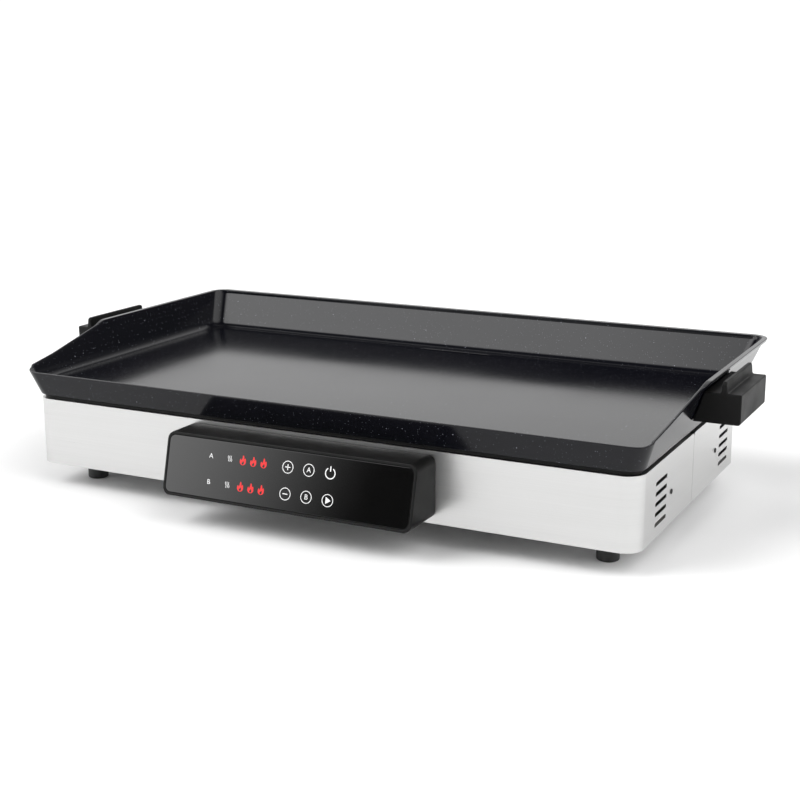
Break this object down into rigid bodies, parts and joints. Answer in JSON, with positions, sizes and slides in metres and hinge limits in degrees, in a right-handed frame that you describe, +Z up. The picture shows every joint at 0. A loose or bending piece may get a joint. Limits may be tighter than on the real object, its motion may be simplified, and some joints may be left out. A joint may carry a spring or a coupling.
{
  "type": "electric griddle",
  "caption": "Table-top electric griddle: steel housing on feet, lift-off non-stick plate with raised rear wall and side handles, sloping touch panel, rear drip tray.",
  "frame": {"origin": "on the surface the feet stand on, under the middle of the whole object's box", "axes": "+X along the long side, to the right as seen from the control panel; -Y towards the control panel; +Z up"},
  "size_m": [0.68, 0.385, 0.1368],
  "materials": {
    "brushed_steel": "fine horizontal brushing, satin",
    "bright_sheet": "plain bright coated sheet",
    "nonstick_coating": "black non-stick coating with fine pale specks, satin",
    "black_plastic": "fine matt moulded texture",
    "panel_glass": "polished black glass",
    "foot_rubber": "matt black rubber",
    "heater_sheath": "dull heat-darkened sheath",
    "screw_steel": "plain bright zinc",
    "black_screw": "blackened steel",
    "circuit_board": "green board lacquer",
    "relay_case": "smooth blue case",
    "ceramic": "unglazed white ceramic",
    "wire_sleeve": "braided glass-fibre sleeve"
  },
  "bodies": {
    "base": {"front_shell": "brushed_steel", "rear_shell": "brushed_steel", "bottom_pan": "bright_sheet", "foot_front_left": "foot_rubber", "foot_front_right": "foot_rubber", "foot_rear_left": "foot_rubber", "foot_rear_right": "foot_rubber", "foot_screw_front_left": "screw_steel", "foot_screw_front_right": "screw_steel", "foot_screw_rear_left": "screw_steel", "foot_screw_rear_right": "screw_steel", "side_bracket_left": "bright_sheet", "side_bracket_right": "bright_sheet", "side_screw_front_left": "black_screw", "side_screw_front_right": "black_screw", "side_screw_rear_left": "black_screw", "side_screw_rear_right": "black_screw", "insulating_frame": "black_plastic", "reflector_tray": "bright_sheet", "heating_element_left": "heater_sheath", "heating_element_right": "heater_sheath", "heater_bridge_left_inner": "bright_sheet", "heater_bridge_left_outer": "bright_sheet", "heater_bridge_right_inner": "bright_sheet", "heater_bridge_right_outer": "bright_sheet", "plate_sensor_left": "screw_steel", "plate_sensor_right": "screw_steel", "thermal_fuse": "ceramic", "power_board": "circuit_board", "relay_left": "relay_case", "relay_right": "relay_case", "terminal_block": "ceramic", "harness": "wire_sleeve", "heater_lead_left": "wire_sleeve", "heater_lead_right": "wire_sleeve", "mains_lead": "wire_sleeve", "supply_lead": "wire_sleeve", "power_inlet": "black_plastic", "inlet_pin_live": "screw_steel", "inlet_pin_neutral": "screw_steel", "inlet_pin_earth": "screw_steel", "control_housing": "black_plastic", "control_back_cover": "black_plastic", "control_glass": "panel_glass", "control_board": "circuit_board", "tray_guide": "bright_sheet", "drain_chute": "bright_sheet"},
    "cooking_plate": {"griddle_plate": "nonstick_coating", "plate_wall_front": "nonstick_coating", "plate_wall_rear": "nonstick_coating", "plate_wall_left": "nonstick_coating", "plate_wall_right": "nonstick_coating", "handle_left": "black_plastic", "handle_right": "black_plastic", "handle_screw_front_left": "screw_steel", "handle_screw_front_right": "screw_steel", "handle_screw_rear_left": "screw_steel", "handle_screw_rear_right": "screw_steel"},
    "drip_tray": {"drip_tray": "black_plastic"}
  },
  "joints": [
    {"name": "plate_lift", "type": "slide", "parent": "base", "child": "cooking_plate", "axis": [0, 0, 1], "range_m": [0, 0.15]},
    {"name": "tray_slide", "type": "slide", "parent": "base", "child": "drip_tray", "axis": [0, 1, 0], "range_m": [0, 0.12]}
  ]
}
